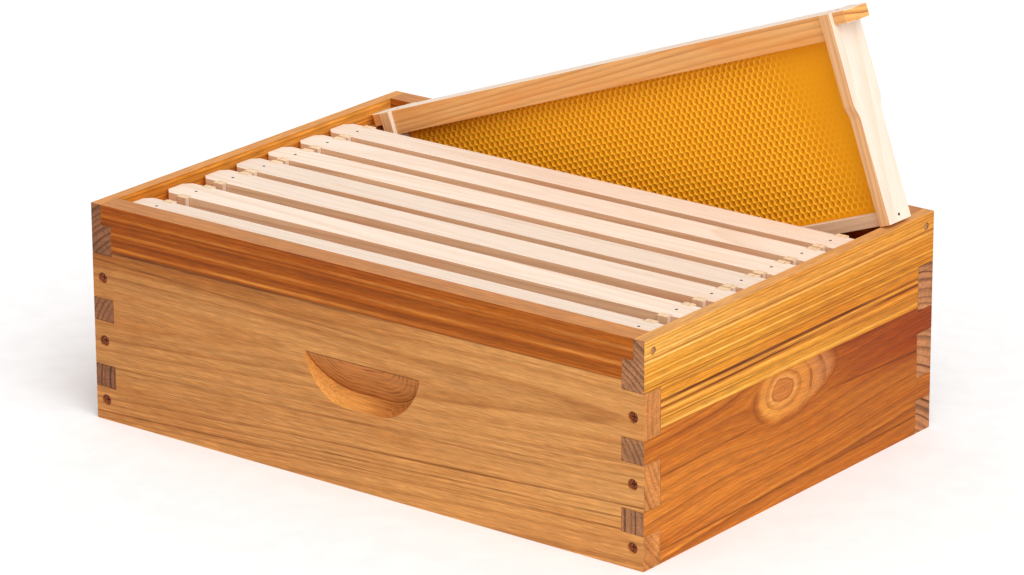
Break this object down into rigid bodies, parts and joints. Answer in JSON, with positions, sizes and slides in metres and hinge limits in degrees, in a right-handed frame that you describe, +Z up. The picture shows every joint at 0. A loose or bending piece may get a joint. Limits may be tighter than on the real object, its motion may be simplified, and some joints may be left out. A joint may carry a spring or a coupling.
{
  "type": "hive box with frames",
  "caption": "Finger-jointed wooden hive super with hanging foundation frames, one of them tipped up with its end on the rim.",
  "frame": {"origin": "centre of the box's footprint, on the surface that it stands on", "axes": "+X along the frames towards the end where the raised frame rests on the rim, +Y across the frames towards the raised frame, +Z up"},
  "size_m": [0.505, 0.356, 0.3268],
  "materials": {
    "box_wood": "wax-dipped fir, satin",
    "frame_wood": "planed pine, bare",
    "foundation_wax": "wax-coated embossed sheet, satin",
    "screw_steel": "dark countersunk screws",
    "nail_steel": "bright flat-headed nails"
  },
  "bodies": {
    "box": {"right_side_board": "box_wood", "left_side_board": "box_wood", "front_end_board": "box_wood", "rear_end_board": "box_wood", "screw_right_rear_1": "screw_steel", "screw_right_rear_2": "screw_steel", "screw_right_rear_3": "screw_steel", "screw_right_front_1": "screw_steel", "screw_right_front_2": "screw_steel", "screw_right_front_3": "screw_steel", "screw_left_rear_1": "screw_steel", "screw_left_rear_2": "screw_steel", "screw_left_rear_3": "screw_steel", "screw_left_front_1": "screw_steel", "screw_left_front_2": "screw_steel", "screw_left_front_3": "screw_steel", "rim_nail_rear_right": "nail_steel", "rim_nail_rear_left": "nail_steel", "rim_nail_front_right": "nail_steel", "rim_nail_front_left": "nail_steel"},
    "frame_1": {"frame_1_top_bar": "frame_wood", "frame_1_front_end_bar": "frame_wood", "frame_1_rear_end_bar": "frame_wood", "frame_1_bottom_bar": "frame_wood", "frame_1_foundation": "foundation_wax"},
    "frame_2": {"frame_2_top_bar": "frame_wood", "frame_2_front_end_bar": "frame_wood", "frame_2_rear_end_bar": "frame_wood", "frame_2_bottom_bar": "frame_wood", "frame_2_foundation": "foundation_wax"},
    "frame_3": {"frame_3_top_bar": "frame_wood", "frame_3_front_end_bar": "frame_wood", "frame_3_rear_end_bar": "frame_wood", "frame_3_bottom_bar": "frame_wood", "frame_3_foundation": "foundation_wax"},
    "frame_4": {"frame_4_top_bar": "frame_wood", "frame_4_front_end_bar": "frame_wood", "frame_4_rear_end_bar": "frame_wood", "frame_4_bottom_bar": "frame_wood", "frame_4_foundation": "foundation_wax"},
    "frame_5": {"frame_5_top_bar": "frame_wood", "frame_5_front_end_bar": "frame_wood", "frame_5_rear_end_bar": "frame_wood", "frame_5_bottom_bar": "frame_wood", "frame_5_foundation": "foundation_wax"},
    "frame_6": {"frame_6_top_bar": "frame_wood", "frame_6_front_end_bar": "frame_wood", "frame_6_rear_end_bar": "frame_wood", "frame_6_bottom_bar": "frame_wood", "frame_6_foundation": "foundation_wax"},
    "frame_7": {"frame_7_top_bar": "frame_wood", "frame_7_front_end_bar": "frame_wood", "frame_7_rear_end_bar": "frame_wood", "frame_7_bottom_bar": "frame_wood", "frame_7_foundation": "foundation_wax"},
    "frame_8": {"frame_8_top_bar": "frame_wood", "frame_8_front_end_bar": "frame_wood", "frame_8_rear_end_bar": "frame_wood", "frame_8_bottom_bar": "frame_wood", "frame_8_foundation": "foundation_wax"}
  },
  "joints": [
    {"name": "frame_1_lift", "type": "slide", "parent": "box", "child": "frame_1", "axis": [0, 0, 1], "range_m": [0, 0.2]},
    {"name": "frame_2_lift", "type": "slide", "parent": "box", "child": "frame_2", "axis": [0, 0, 1], "range_m": [0, 0.2]},
    {"name": "frame_3_lift", "type": "slide", "parent": "box", "child": "frame_3", "axis": [0, 0, 1], "range_m": [0, 0.2]},
    {"name": "frame_4_lift", "type": "slide", "parent": "box", "child": "frame_4", "axis": [0, 0, 1], "range_m": [0, 0.2]},
    {"name": "frame_5_lift", "type": "slide", "parent": "box", "child": "frame_5", "axis": [0, 0, 1], "range_m": [0, 0.2]},
    {"name": "frame_6_lift", "type": "slide", "parent": "box", "child": "frame_6", "axis": [0, 0, 1], "range_m": [0, 0.2]},
    {"name": "frame_7_lift", "type": "slide", "parent": "box", "child": "frame_7", "axis": [0, 0, 1], "range_m": [0, 0.2]},
    {"name": "frame_8_tip", "type": "hinge", "parent": "box", "child": "frame_8", "pos_m": [-0.2375, 0.1416, 0.1527], "axis": [-0.0145, -0.9999, 0], "range_deg": [0, 13]}
  ]
}
